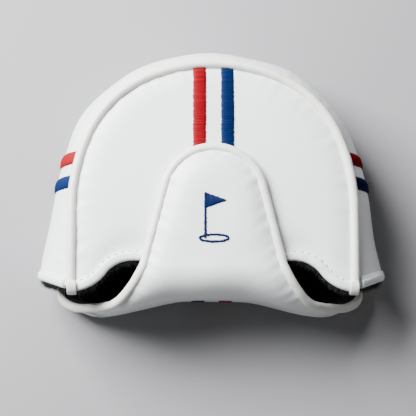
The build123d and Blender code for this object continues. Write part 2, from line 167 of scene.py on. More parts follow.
class StudioSettings(bpy.types.PropertyGroup):
    """Camera and lights."""

    distance: length("Camera distance", 0.60, "From the camera to the crown")
    view_width: length("View width", 0.1742, "Width that the camera sees at the crown's height")
    tilt: number("Tilt", radians(6.2), "Camera's lean from overhead towards the mouth", "ROTATION")
    yaw: number("Yaw", radians(1.8), "Camera's lean from overhead towards the left", "ROTATION")
    key: number("Key light", 25.0, "Power of the light at the upper left", "POWER")
    fill: number("Fill light", 0.15, "Power of the light at the lower right", "POWER")
    ambient: number("Ambient", 0.16, "Strength of the even light")
    seed: IntProperty(name="Seed", description="Start of every random series", default=7)


# Small pieces of arithmetic.


def smooth(low, high, value):
    """0 below low and 1 above high, with a smooth step between them."""
    t = np.clip((value - low) / (high - low), 0.0, 1.0)
    return t * t * (3 - 2 * t)


def parabola(value, places, heights):
    """The parabola through three (place, height) pairs."""
    a, b, c = places
    return (
        heights[0] * (value - b) * (value - c) / ((a - b) * (a - c))
        + heights[1] * (value - a) * (value - c) / ((b - a) * (b - c))
        + heights[2] * (value - a) * (value - b) / ((c - a) * (c - b))
    )


def waves(value, seed, lengths):
    """A sum of sines of these wavelengths with random phases, about -1 to 1."""
    phases = np.random.default_rng(seed).uniform(0, 2 * pi, len(lengths))
    total = sum(np.sin(2 * pi * value / w + p) for w, p in zip(lengths, phases))
    return total / len(lengths) ** 0.5


def unit(vectors):
    """Vectors scaled to length 1."""
    return vectors / np.maximum(np.linalg.norm(vectors, axis=-1, keepdims=True), 1e-12)


def stack(*parts):
    """Coordinates that broadcast together, joined into points."""
    return np.stack(np.broadcast_arrays(*parts), axis=-1).astype(float)


def surface_normals(points):
    """Unit normals of a grid of points: the cross product of its two directions."""
    along, across = np.gradient(points, axis=0), np.gradient(points, axis=1)
    return unit(np.cross(along, across))


def nearest(points, line):
    """Distance of each point to a dense line of points, all flat."""
    flat = points.reshape(-1, 1, 2)
    return np.linalg.norm(flat - line[None], axis=2).min(axis=1).reshape(points.shape[:-1])


# The cover's surfaces.


class Cover:
    """Every surface of the cover, as functions of the sizes."""

    def __init__(self, sizes):
        self.sizes = sizes
        self.high = CROWN_HIGH.z
        self.top = TONGUE_HIGH.z
        self.wall = sizes.leather + sizes.foam + sizes.plush
        self.corner = CROWN_LOW.y
        self.hem_middle = self.corner + MOUTH_STEP
        self.quarter = FOLD * pi / 2
        self.front = self.top - 2 * FOLD
        self.seam = self.quarter + self.front / 2
        self.sole_start = 2 * self.quarter + self.front
        shares = np.linspace(-1, 1, 500)
        x, y, heading = self.outline(shares, 0.0, CROWN_LAST_TURN, self.corner)
        self.crown_line = stack(x, y)
        self.flap_line = stack(*self.flap_edge(300))
        self.sole_line = stack(*self.sole_edge(500))

    def outline(self, share, spread, last_turn, end_y):
        """Along a seam from the left of the mouth (share -1) round the rear to its right (share 1).

        Three tangent arcs each side, moved outwards by spread, then a straight run to y = end_y. Share is a
        share of the length. Returns x, y and the heading, whose (sine, cosine) is the outward normal."""
        share, spread, last_turn, end_y = np.broadcast_arrays(share, spread, last_turn, end_y)
        turns = (ARC_TURNS[0], ARC_TURNS[1], last_turn)
        x, y, heading, done = 0.0 * spread, CROWN_REAR + spread, 0.0 * spread, 0.0 * spread
        starts = []
        for radius, turn in zip(ARC_RADII, turns):
            arc = radius + spread
            starts.append((x, y, heading, done, arc))
            x = x + arc * (np.sin(heading + turn) - np.sin(heading))
            y = y - arc * (np.cos(heading) - np.cos(heading + turn))
            heading = heading + turn
            done = done + arc * turn
        whole = done + (y - end_y) / np.sin(heading)
        along = np.abs(share) * whole
        place_x = x + (along - done) * np.cos(heading)
        place_y = y - (along - done) * np.sin(heading)
        place_heading = heading
        limit = done
        for x0, y0, heading0, done0, arc in reversed(starts):
            angle = heading0 + (along - done0) / arc
            inside = along < limit
            place_x = np.where(inside, x0 + arc * (np.sin(angle) - np.sin(heading0)), place_x)
            place_y = np.where(inside, y0 - arc * (np.cos(heading0) - np.cos(angle)), place_y)
            place_heading = np.where(inside, angle, place_heading)
            limit = done0
        side = np.where(share < 0, -1.0, 1.0)
        return side * place_x, place_y, side * place_heading

    def mouth_edge(self, x):
        """The crown's mouth edge: straight in the middle, then two equal arcs down to each corner."""
        half = MOUTH_CURVE / 2
        radius = half / sin(2 * np.arctan(MOUTH_STEP / MOUTH_CURVE))
        out = np.clip(np.abs(x) - MOUTH_FLAT, 0, MOUTH_CURVE)
        first = self.hem_middle - radius + np.sqrt(radius**2 - np.minimum(out, half) ** 2)
        second = self.corner + radius - np.sqrt(radius**2 - np.minimum(MOUTH_CURVE - out, half) ** 2)
        return np.where(out < half, first, second)

    def dome(self, x, y):
        """Rise of the padded crown, which fades to nothing at its sides, rear and mouth."""
        across = np.clip(1 - (x / (62 * MM)) ** 2, 0, 1)
        along = np.clip(1 - ((y - 3 * MM) / (47 * MM)) ** 2, 0, 1)
        return self.sizes.dome * across**0.8 * along**1.5

    def crown_height(self, x, y):
        """Height of the crown's skin: the dome, less a crease beside the piping and a dip before the hem."""
        inner = nearest(stack(x, y), self.crown_line) - 1.5 * MM
        to_hem = y - self.mouth_edge(x)
        angle = np.arctan2(y + 10 * MM, x)
        gather = waves(angle * 50 * MM, 11, (5.3 * MM, 7.9 * MM, 12.1 * MM))
        inside = np.clip(inner, 0, 1)
        crease = -1.7 * MM * np.exp(-((inside / (2.6 * MM)) ** 0.9))
        swell = 0.3 * MM * smooth(0, 9 * MM, inner)
        gathers = self.sizes.pucker * gather * np.exp(-inside / (4.5 * MM))
        dip = -1.1 * MM * np.exp(-(((to_hem - 4.5 * MM) / (5.5 * MM)) ** 2))
        dip = dip * smooth(60 * MM, 36 * MM, np.abs(x))
        ripple = 0.10 * MM * waves(x + 0.4 * y, 3, (31 * MM, 47 * MM))
        return self.high + self.dome(x, y) + crease + swell + gathers + dip + ripple

    def crown(self, columns=260, rows=90):
        """Crown skin: lines ruled from the rear arch to the mouth edge, closer together near both."""
        share = np.linspace(-1, 1, columns)[:, None]
        x0, y0, heading = self.outline(share, -1.2 * MM, CROWN_LAST_TURN, self.corner + 0.6 * MM)
        x1 = np.linspace(x0[0, 0], x0[-1, 0], columns)[:, None]
        y1 = self.mouth_edge(x1) + 0.6 * MM
        blend = (1 - np.cos(np.linspace(0, pi, rows)))[None] / 2
        x, y = x0 * (1 - blend) + x1 * blend, y0 * (1 - blend) + y1 * blend
        return stack(x, y, self.crown_height(x, y))

    def spread(self, z):
        """How far the gusset stands out past the crown seam at height z."""
        s = self.sizes
        return parabola(z, (0, s.bulge_height, self.high), (s.sole_spread, s.bulge_spread, 0))

    def last_turn(self, z):
        """Turn of the gusset's last arc at height z."""
        turns = (SOLE_LAST_TURN, BULGE_LAST_TURN, CROWN_LAST_TURN)
        return parabola(z, (0, self.sizes.bulge_height, self.high), turns)

    def gusset_mouth(self, z):
        """The gusset's mouth edge at height z: back a little in the middle, forwards at the top."""
        foot = (8.6 * MM, self.corner + 4.6 * MM)
        middle = (self.sizes.bulge_height, self.corner + 5.4 * MM)
        edge = parabola(z, (foot[0], middle[0], self.high), (foot[1], middle[1], self.corner))
        return np.where(z < foot[0], foot[1], edge)

    def wall_outline(self, share, z, out, end_y):
        """The gusset's outline at height z, moved outwards by out: x, y and the heading."""
        return self.outline(share, self.spread(z) + out, self.last_turn(z), end_y)

    def gusset_relief(self, share, z):
        """How far the gusset's soft skin stands out from its plain shape: creases, gathers and slack."""
        below = self.high - 1.0 * MM - z
        above = z - 2.0 * MM
        along = share * GUSSET_HALF_LENGTH
        crease = -1.0 * MM * np.exp(-below / (2.4 * MM)) - 0.8 * MM * np.exp(-above / (2.2 * MM))
        gather = waves(along, 5, (6.1 * MM, 8.7 * MM, 13.3 * MM))
        fade = np.exp(-below / (5 * MM)) + np.exp(-above / (6 * MM))
        slack = 0.35 * MM * waves(along + 0.5 * z, 9, (38 * MM, 61 * MM))
        middle = np.sin(pi * np.clip(z / self.high, 0, 1))
        return crease + self.sizes.pucker * 1.2 * gather * fade + slack * middle

    def gusset(self, columns=420, rows=60):
        """Gusset skin: seam outlines stacked from the sole piping up to the crown piping."""
        share = np.linspace(1, -1, columns)[:, None]
        z = np.linspace(1.6 * MM, self.high - 1.6 * MM, rows)[None]
        relief = self.gusset_relief(share, z)
        x, y, heading = self.wall_outline(share, z, relief, self.gusset_mouth(z) + 0.5 * MM)
        return stack(x, y, z)

    def side_point(self, side, y, z):
        """A point of the gusset's skin at a given y, on its last arc or straight run."""
        shares = np.linspace(0.2, 1.0, 400)[:, None]
        relief = self.gusset_relief(side * shares, z[None])
        x0, y0, heading = self.wall_outline(shares, z[None], relief, self.corner)
        pick = np.abs(y0 - y).argmin(axis=0)
        columns = np.arange(len(z))
        return stack(side * x0[pick, columns], np.full(len(z), y), z)

    # The sheet that is the sole, rolls up over the mouth and ends as the tongue. Its station s is the length
    # along it: below 0 on the tongue, then the upper fold, the front, the lower fold and the sole.

    def flap_width(self, s):
        """Half-width of the flap at station s of its folds and front."""
        tip_x = self.sizes.tip_radius * cos(FLAP_TAPER)
        tip_y = TONGUE_TIP - self.sizes.tip_radius * (1 - sin(FLAP_TAPER))
        root = tip_x + (tip_y - FOLD_Y) * tan(FLAP_TAPER)
        whole = FLAP_TURN * FOLD + self.front
        foot = self.sole_width(FOLD_Y - FOLD * sin(FLAP_TURN))
        extra = foot - root - tan(FLAP_TAPER) * whole
        flap = root + tan(FLAP_TAPER) * s + extra * (np.maximum(s, 0) / whole) ** 1.4
        sole = self.sole_width(FOLD_Y - (self.sole_start - s))
        soft = 1.6 * MM
        return -soft * np.log(np.exp(-flap / soft) + np.exp(-sole / soft))

    def sole_width(self, y):
        """Half-width of the sole seam on its straight runs."""
        return self.outline(1.0, self.sizes.sole_spread, SOLE_LAST_TURN, y)[0]

    def flap_edge(self, count):
        """Half-widths and stations of the flap's right edge, from the front's seam to the tongue's tip."""
        radius = self.sizes.tip_radius
        folds = np.linspace(self.seam, 0, count // 2)
        centre = TONGUE_TIP - radius
        straight = np.linspace(0, FOLD_Y - centre - radius * sin(FLAP_TAPER), count // 4)[1:]
        angle = np.linspace(FLAP_TAPER, pi / 2, count // 4)[1:]
        width = np.concatenate([self.flap_width(folds), self.flap_width(straight), radius * np.cos(angle)])
        station = np.concatenate([folds, straight, FOLD_Y - centre - radius * np.sin(angle)])
        return width, station

    def sole_edge(self, count):
        """Half-widths and stations of the sole sheet's right edge, from the front's seam to the rear."""
        folds = np.linspace(self.seam, self.sole_start, count // 3)
        share = np.linspace(1, 0, count)[1:]
        x, y, heading = self.outline(share, self.sizes.sole_spread, SOLE_LAST_TURN, FOLD_Y)
        station = np.concatenate([folds, self.sole_start + y - FOLD_Y])
        return np.concatenate([self.flap_width(folds), x]), station

    def sheet(self, x, s, depth):
        """A point of the sheet: x across, station s along, depth below its outer face.

        Flat on the tongue and the sole, straight at the front, and round at both folds, whose Y radius is
        less in the middle of the cover and more at the lobes."""
        x, s, depth = np.broadcast_arrays(x, s, depth)
        lobe = smooth(10 * MM, 50 * MM, np.abs(x))
        hollow = self.sizes.wrap_hollow
        reach = FOLD - depth - hollow + (hollow + self.sizes.wrap_lobe) * lobe
        rise = FOLD - depth
        upper = np.clip(s, 0, self.quarter) / FOLD
        lower = np.clip(s - self.quarter - self.front, 0, self.quarter) / FOLD
        past_front = s > self.quarter + self.front / 2
        angle = np.where(past_front, pi / 2 + lower, upper)
        middle = np.where(past_front, FOLD, self.top - FOLD)
        straight = np.clip(s - self.quarter, 0, self.front)
        straight = np.where(past_front, straight - self.front, straight)
        y = FOLD_Y - reach * np.sin(angle) + np.clip(-s, 0, 1) + np.clip(s - self.sole_start, 0, 1)
        z = middle + rise * np.cos(angle) - straight
        domed = self.dome(x, y) * smooth(2 * MM, -14 * MM, s)
        return stack(x, y, z + domed)

    def piping_depth(self, s):
        """Depth of the sheet's piping: most on the tongue, which lies on the crown, least on the sole."""
        depth = 4.4 * MM - 0.3 * MM * smooth(-16 * MM, 8 * MM, s)
        return depth - 2.2 * MM * smooth(self.quarter + self.front, self.sole_start, s)

    def layer(self, x, s, depth):
        """A point of one of the sheet's layers: they draw together into the piping at the edge.

        With e the distance from the edge, both faces close in on the piping as exp(-(e / soft)^1.25)."""
        flap = s < self.seam
        flat = stack(np.abs(x), s)
        edge = np.where(flap, nearest(flat, self.flap_line), nearest(flat, self.sole_line))
        inner = np.clip(edge - 1.0 * MM, 0, 1)
        soft = np.where(s > self.quarter + self.front, 2.4 * MM, 5.0 * MM)
        close = np.exp(-((inner / soft) ** 1.25))
        piping = self.piping_depth(s)
        gather = self.sizes.pucker * waves(s + 0.7 * np.abs(x), 21, (5.9 * MM, 8.3 * MM, 12.7 * MM))
        upper = (piping - 1.0 * MM) * close + gather * np.exp(-inner / (4 * MM))
        upper = upper + 0.22 * MM * np.exp(-np.abs(s - self.seam) / (0.5 * MM))
        upper = upper + 0.12 * MM * waves(0.6 * s + x, 23, (29 * MM, 43 * MM)) * smooth(0, 8 * MM, inner)
        free = smooth(self.sole_start + 2 * MM, self.sole_start - 10 * MM, s)
        under = self.wall - (self.wall - piping - 1.0 * MM) * close * free
        return self.sheet(x, s, upper + (under - upper) * depth / self.wall)


# Meshes.


def make_object(name, vertices, faces, material, uv=None):
    """An object from vertex and face arrays, shaded smooth, with its own UV map in metres."""
    mesh = bpy.data.meshes.new(name)
    mesh.from_pydata(vertices.reshape(-1, 3).tolist(), [], [list(f) for f in faces])
    if uv is not None:
        corners = np.zeros(len(mesh.loops), int)
        mesh.loops.foreach_get("vertex_index", corners)
        layer = mesh.uv_layers.new(name="lay", do_init=False)
        layer.uv.foreach_set("vector", uv.reshape(-1, 2)[corners].astype(np.float32).ravel())
    mesh.polygons.foreach_set("use_smooth", np.ones(len(mesh.polygons), bool))
    mesh.materials.append(material)
    mesh.update()
    piece = bpy.data.objects.new(name, mesh)
    bpy.context.scene.collection.objects.link(piece)
    return piece


def grid_faces(rows, columns, wrap=False):
    """Quads of a grid of rows x columns vertices, closed across the columns if wrap."""
    last = columns if wrap else columns - 1
    i, j = np.meshgrid(np.arange(rows - 1), np.arange(last), indexing="ij")
    k = (j + 1) % columns
    corners = [i * columns + j, (i + 1) * columns + j, (i + 1) * columns + k, i * columns + k]
    return np.stack(corners, -1).reshape(-1, 4)


def tube_faces(rows, columns):
    """Faces of a closed tube of rings, with flat ends."""
    faces = grid_faces(rows, columns, wrap=True).tolist()
    faces.append(list(range(columns)))
    faces.append([(rows - 1) * columns + j for j in reversed(range(columns))])
    return faces


def slab_arrays(outer, inner, uv):
    """A closed wall between two grids: outer, then inner backwards, as one ring a row, with ends."""
    rows, columns = outer.shape[:2]
    ring = np.concatenate([outer, inner[:, ::-1]], axis=1)
    rings = np.concatenate([uv, uv[:, ::-1]], axis=1)
    faces = grid_faces(rows, 2 * columns, wrap=True)
    j = np.arange(columns - 1)
    start = np.stack([j, j + 1, 2 * columns - 2 - j, 2 * columns - 1 - j], -1)
    end = start[:, ::-1] + (rows - 1) * 2 * columns
    return ring.reshape(-1, 3), np.concatenate([faces, start, end]), rings.reshape(-1, 2)


def weld_and_point_outwards(piece):
    """Merges the doubles that a pole leaves and makes every face point outwards."""
    mesh = bmesh.new()
    mesh.from_mesh(piece.data)
    bmesh.ops.remove_doubles(mesh, verts=mesh.verts, dist=1e-6)
    bmesh.ops.dissolve_degenerate(mesh, edges=mesh.edges, dist=1e-7)
    bmesh.ops.recalc_face_normals(mesh, faces=mesh.faces)
    mesh.to_mesh(piece.data)
    mesh.free()


def solid(name, vertices, faces, material, uv=None):
    """A closed piece, welded, with its faces pointing outwards."""
    piece = make_object(name, vertices, faces, material, uv)
    weld_and_point_outwards(piece)
    return piece


def slab(name, outer, inner, uv, material):
    """A closed wall piece between two grids of points."""
    vertices, faces, coordinates = slab_arrays(outer, inner, uv)
    return solid(name, vertices, faces, material, coordinates)


def lengths_along(path):
    """Length along a path of points at each of them."""
    steps = np.linalg.norm(np.diff(path, axis=0), axis=1)
    return np.concatenate([[0], np.cumsum(steps)])


def sample(marks, along, path):
    """A path, or its directions, read off at marks along its length."""
    return np.stack([np.interp(marks, along, path[:, k]) for k in range(3)], -1)


def swept(name, path, up, profile, material):
    """A closed profile carried along a path, with flat ends.

    profile holds (side, up) offsets, one row for all of the path or one row for each point of it."""
    tangent = unit(np.gradient(path, axis=0))
    side = unit(np.cross(tangent, up))
    rise = np.cross(side, tangent)
    profile = np.broadcast_to(profile, (len(path),) + profile.shape[-2:])
    rings = path[:, None] + side[:, None] * profile[..., :1] + rise[:, None] * profile[..., 1:]
    rows, columns = rings.shape[:2]
    round_length = np.linalg.norm(np.diff(profile[0], axis=0), axis=1).sum()
    uv = stack(lengths_along(path)[:, None], np.linspace(0, round_length, columns)[None])
    return solid(name, rings, tube_faces(rows, columns), material, uv)


def circle(radius, count=20):
    """Offsets round a circle."""
    turn = np.linspace(0, 2 * pi, count, endpoint=False)
    return np.stack([radius * np.cos(turn), radius * np.sin(turn)], -1)


def scatter_arrays(shape, faces, origins, axes):
    """Copies of a small shape: each copy's own three axes carry the shape's coordinates."""
    points = origins[:, None] + np.einsum("vk,nkc->nvc", shape, axes)
    offsets = (np.arange(len(origins)) * len(shape))[:, None, None]
    return points.reshape(-1, 3), [list(f) for copy in (faces[None] + offsets) for f in copy]


# Materials.


class Value:
    """A shader socket that can be added, subtracted, multiplied and divided."""

    def __init__(self, shader, socket):
        self.shader = shader
        self.socket = socket

    def math(self, operation, first, second):
        return self.shader.node("ShaderNodeMath", {"operation": operation}, {0: first, 1: second})

    def __add__(self, other):
        return self.math("ADD", self, other)

    def __radd__(self, other):
        return self.math("ADD", other, self)

    def __sub__(self, other):
        return self.math("SUBTRACT", self, other)

    def __rsub__(self, other):
        return self.math("SUBTRACT", other, self)

    def __mul__(self, other):
        return self.math("MULTIPLY", self, other)

    def __rmul__(self, other):
        return self.math("MULTIPLY", other, self)

    def __truediv__(self, other):
        return self.math("DIVIDE", self, other)

    def __rtruediv__(self, other):
        return self.math("DIVIDE", other, self)


class Shader:
    """A material under construction."""

    def __init__(self, name):
        self.material = bpy.data.materials.new(name)
        self.material.use_nodes = True
        self.tree = self.material.node_tree
        self.tree.nodes.clear()

    def node(self, kind, settings=None, inputs=None, output=0):
        """Adds a node: its settings first, then the values or links of its sockets."""
        made = self.tree.nodes.new(kind)
        for key, value in (settings or {}).items():
            setattr(made, key, value)
        for key, value in (inputs or {}).items():
            if isinstance(value, Value):
                self.tree.links.new(value.socket, made.inputs[key])
            else:
                made.inputs[key].default_value = value
        return Value(self, made.outputs[output]) if made.outputs else None

    def lay(self):
        """The piece's own UV map, in metres along and across it."""
        return self.node("ShaderNodeUVMap", {"uv_map": "lay"})

    def place(self):
        """The piece's Object coordinates, in metres."""
        return self.node("ShaderNodeTexCoord", output="Object")

    def noise(self, where, scale, detail=2.0):
        """Soft noise from 0 to 1, with scale in patterns a metre."""
        inputs = {"Vector": where, "Scale": scale, "Detail": detail}
        return self.node("ShaderNodeTexNoise", inputs=inputs)

    def cells(self, where, scale):
        """Distance to the nearest of randomly placed points."""
        return self.node("ShaderNodeTexVoronoi", {"feature": "F1"}, {"Vector": where, "Scale": scale})

    def mix(self, factor, first, second):
        """A colour between two colours."""
        inputs = {"Factor": factor, 6: (*first, 1.0), 7: (*second, 1.0)}
        return self.node("ShaderNodeMix", {"data_type": "RGBA"}, inputs, output=2)

    def bump(self, height, distance):
        """A bumped normal, distance metres deep."""
        return self.node("ShaderNodeBump", inputs={"Height": height, "Distance": distance})

    def finish(self, **inputs):
        """Ends the material with one Principled shader."""
        named = {key.replace("_", " "): value for key, value in inputs.items()}
        surface = self.node("ShaderNodeBsdfPrincipled", inputs=named)
        self.node("ShaderNodeOutputMaterial", inputs={"Surface": surface})
        return self.material


def shade(colour, factor):
    """A colour made lighter or darker."""
    return tuple(min(1.0, c * factor) for c in colour)


def leather_material(name, tint, grain, roughness):
    """Coated leather: fine pebble grain, faint blotches, and a soft gloss that varies."""
    shader = Shader(name)
    where = shader.lay()
    blotch = shader.noise(where, 45.0, 3.0)
    pebble = shader.cells(where, 1500.0)
    pores = shader.noise(where, 5200.0, 2.0)
    height = pebble * 0.7 + pores * 0.5
    return shader.finish(
        Base_Color=shader.mix(blotch, shade(tint, 0.965), shade(tint, 1.02)),
        Roughness=roughness + blotch * 0.10,
        Coat_Weight=0.12,
        Coat_Roughness=0.28,
        Normal=shader.bump(height, grain),
    )


def thread_material(name, tint):
    """Shiny embroidery thread: each thread a little lighter or darker, with a twist."""
    shader = Shader(name)
    where = shader.lay()
    strand = shader.noise(where, 900.0, 1.0)
    twist = shader.noise(where, 4200.0, 1.0)
    return shader.finish(
        Base_Color=shader.mix(strand, shade(tint, 0.72), shade(tint, 1.25)),
        Roughness=0.45 + twist * 0.18,
        Specular_IOR_Level=0.1,
        Normal=shader.bump(twist, 0.06 * MM),
    )


def plush_material(name, tint):
    """Black pile: nearly all light is lost in it, with a faint sheen on the tips."""
    shader = Shader(name)
    where = shader.place()
    clump = shader.noise(where, 420.0, 3.0)
    fine = shader.noise(where, 2600.0, 2.0)
    return shader.finish(
        Base_Color=shader.mix(clump, shade(tint, 0.5), shade(tint, 2.2)),
        Roughness=0.9 + fine * 0.1,
        Sheen_Weight=0.18,
        Sheen_Roughness=0.5,
        Normal=shader.bump(clump + fine * 0.5, 0.5 * MM),
    )


def foam_material(name, tint):
    """Open-cell foam, with painted shade in the bottom of each pit."""
    shader = Shader(name)
    where = shader.place()
    pits = shader.cells(where, 1100.0)
    # Painted shade: the colour darkens towards the middle of each pit, where the bump sinks lowest.
    tone = shader.mix(pits, shade(tint, 0.7), tint)
    return shader.finish(Base_Color=tone, Roughness=0.95, Normal=shader.bump(pits, 0.3 * MM))


def cord_material(name, tint):
    """Twisted cotton cord."""
    shader = Shader(name)
    strand = shader.noise(shader.lay(), 1800.0, 2.0)
    tone = shader.mix(strand, shade(tint, 0.8), tint)
    return shader.finish(Base_Color=tone, Roughness=0.9, Normal=shader.bump(strand, 0.2 * MM))


def magnet_material(name):
    """Nickel-plated magnet with fine turning marks."""
    shader = Shader(name)
    marks = shader.noise(shader.place(), 1500.0, 2.0)
    return shader.finish(
        Base_Color=shader.mix(marks, (0.55, 0.54, 0.52), (0.70, 0.69, 0.67)),
        Metallic=1.0,
        Roughness=0.2 + marks * 0.15,
    )


def floor_material(name, tint):
    """Plain matt studio floor."""
    shader = Shader(name)
    cloud = shader.noise(shader.place(), 3.0, 2.0)
    tone = shader.mix(cloud, shade(tint, 0.99), shade(tint, 1.01))
    return shader.finish(Base_Color=tone, Roughness=0.9)


def materials():
    """The cover's own materials by name, made once. The frame has plain ones of the same names."""
    if not MADE:
        tints = bpy.context.scene.cover_colours
        MADE.update(
            white_leather=leather_material("cover_leather", tints.leather, 0.035 * MM, 0.34),
            piping_leather=leather_material("cover_piping", tints.piping, 0.05 * MM, 0.36),
            red_thread=thread_material("cover_red", tints.red),
            blue_thread=thread_material("cover_blue", tints.blue),
            emblem_thread=thread_material("cover_emblem", tints.emblem),
            white_thread=thread_material("cover_topstitch", tints.piping),
            black_plush=plush_material("cover_plush", tints.plush),
            foam=foam_material("cover_foam", tints.foam),
            cotton_cord=cord_material("cover_cord", tints.foam),
            magnet_nickel=magnet_material("cover_magnet"),
        )
    return MADE


# Fixing pieces to the frame.


def claim(nodes):
    """Hides the CAD nodes that a piece stands for."""
    if nodes:
        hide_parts(*nodes)


def on_pouch(piece, slot, *nodes):
    """A piece that rides on the pouch."""
    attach(piece, "pouch")
    claim(nodes)


def over_lower_fold(piece, slot, *nodes):
    """A piece that lies across the lower fold, from the pouch to the wrap: bakes its transform and hides the
    CAD nodes it stands for.
    """
    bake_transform(piece)
    claim(nodes)


def over_upper_fold(piece, slot, *nodes):
    """A piece that lies across the upper fold, from the wrap to the tongue: bakes its transform and hides the
    CAD nodes it stands for.
    """
    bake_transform(piece)
    claim(nodes)


def cover():
    """The cover's surfaces for the sizes now set."""
    return Cover(bpy.context.scene.cover_sizes)


def tufts(base, up, pile, width, draw):
    """Tufts of pile: each leans at random from its up direction and tapers from three corners to a point."""
    count = len(base)
    rise = unit(up + draw.normal(size=(count, 3)) * 0.45) * (pile * draw.uniform(0.6, 1.15, count))[:, None]
    side = unit(np.cross(rise, draw.normal(size=(count, 3))))
    other = unit(np.cross(rise, side))
    axes = np.stack([side * width, other * width, rise], axis=1)
    shape = np.array([[1, 0, -0.1], [-0.5, 0.87, -0.1], [-0.5, -0.87, -0.1], [0.35, 0.1, 1.0]])
    faces = np.array([[0, 1, 3], [1, 2, 3], [2, 0, 3], [2, 1, 0]])
    return scatter_arrays(shape, faces, base, axes)


def lining_arrays(outer, inner, uv, pile, count, seed):
    """A plush layer: a closed slab whose inner face carries tufts on random spots, evenly by area."""
    vertices, faces, coordinates = slab_arrays(outer, inner, uv)
    draw = np.random.default_rng(seed)
    normals = surface_normals(inner)
    facing = np.sign(((inner - outer) * normals).sum(-1).mean()) or 1.0
    here = inner[:-1, :-1]
    cells = np.linalg.norm(np.cross(inner[1:, :-1] - here, inner[:-1, 1:] - here), axis=-1)
    weights = (cells / cells.sum()).ravel()
    spots = draw.choice(len(weights), count, p=weights)
    i, j = np.unravel_index(spots, cells.shape)
    a, b = draw.random(count)[:, None], draw.random(count)[:, None]
    base = (
        inner[i, j] * (1 - a) * (1 - b)
        + inner[i + 1, j] * a * (1 - b)
        + inner[i, j + 1] * (1 - a) * b
        + inner[i + 1, j + 1] * a * b
    )
    points, spikes = tufts(base, normals[i, j] * facing, pile, 0.32 * MM, draw)
    total = [list(f) for f in faces] + [[k + len(vertices) for k in f] for f in spikes]
    all_points = np.concatenate([vertices, points])
    all_uv = np.concatenate([coordinates, np.zeros((len(points), 2))])
    return all_points, total, all_uv


def padded_wall(name, faces, uv, fix, nodes, pile, count, seed):
    """A wall's leather skin, foam pad and plush lining. faces holds the outer and inner face of each."""
    made = materials()
    skin = slab(f"{name}_skin", *faces[0], uv, made["white_leather"])
    fix(skin, "white_leather", *[f"{node}_panel" for node in nodes])
    pad = slab(f"{name}_pad", *faces[1], uv, made["foam"])
    fix(pad, "foam", *[f"{node}_foam" for node in nodes])
    points, polygons, coordinates = lining_arrays(*faces[2], uv, pile, count, seed)
    lining = make_object(f"{name}_plush", points, polygons, made["black_plush"], coordinates)
    fix(lining, "black_plush", *[f"{node}_lining" for node in nodes])


def satin_arrays(path, across, up, width, relief, pitch, seed):
    """Satin stitch: threads side by side along the path, each laid across it.

    The profile is a low arch; its height falls between threads, and each thread ends a little in or out.
    Returns the rings of vertices, closed underneath."""
    draw = np.random.default_rng(seed)
    along = lengths_along(path)
    threads = max(2, int(round(along[-1] / pitch)))
    fine = np.linspace(0, along[-1], threads * 4 + 1)
    path, across, up = sample(fine, along, path), sample(fine, along, across), sample(fine, along, up)
    across, up = unit(across), unit(up)
    half = np.interp(fine, along, np.broadcast_to(width, along.shape)) / 2
    which = np.minimum((np.arange(len(fine)) // 4), threads - 1)
    ragged = draw.normal(0, 0.10 * MM, (threads, 2))[which]
    thread_height = draw.normal(1.0, 0.05, threads)[which]
    between = 0.5 - 0.5 * np.cos(2 * pi * np.arange(len(fine)) / 4)
    turn = np.linspace(0, pi, 11)
    ends = np.where(np.cos(turn)[None] > 0, ragged[:, :1], ragged[:, 1:])
    reach = np.cos(turn)[None] * (half[:, None] + ends)
    arch = np.sin(turn) ** 0.7
    height = relief * arch[None] * (thread_height[:, None] - 0.26 * (1 - between[:, None]))
    under = np.array([-0.96, -0.5, 0.0, 0.5, 0.96])
    reach = np.concatenate([reach, under[None] * half[:, None]], axis=1)
    height = np.concatenate([height, np.full((len(fine), 5), -0.35 * MM)], axis=1)
    rings = path[:, None] + across[:, None] * reach[..., None] + up[:, None] * height[..., None]
    turns = np.broadcast_to(fine[:, None], reach.shape)
    return rings, np.stack([turns, reach * 0.05], -1)


def satin(name, path, across, up, width, relief, material, seed):
    """A satin-stitched band as one piece."""
    sizes = bpy.context.scene.cover_sizes
    rings, uv = satin_arrays(path, across, up, width, relief, sizes.thread, seed)
    return solid(name, rings, tube_faces(*rings.shape[:2]), material, uv)


def stitch_row(name, path, up, material, pitch=3.0 * MM, size=1.9 * MM, thick=0.26 * MM):
    """A row of topstitches: short rods along a path, each dipping into the leather at both ends."""
    along = lengths_along(path)
    marks = np.arange(pitch, along[-1] - pitch, pitch)
    centres = sample(marks, along, path)
    tangents = unit(sample(marks, along, np.gradient(path, axis=0)))
    side = unit(np.cross(tangents, sample(marks, along, up)))
    rise = np.cross(side, tangents)
    turn = np.linspace(0, 2 * pi, 6, endpoint=False)
    rings = []
    for place in (-0.5, -0.3, 0.0, 0.3, 0.5):
        radius = thick * (1.0 - 0.75 * (abs(place) > 0.4))
        lift = thick * (0.3 - 4.4 * place**2)
        ring = np.stack([np.full(6, place * size), radius * np.cos(turn), radius * np.sin(turn) + lift], -1)
        rings.append(ring)
    shape = np.concatenate(rings)
    faces = grid_faces(5, 6, wrap=True)
    points, faces = scatter_arrays(shape, faces, centres, np.stack([tangents, side, rise], axis=1))
    return solid(name, points, faces, material, points[:, :2])


# Operators.


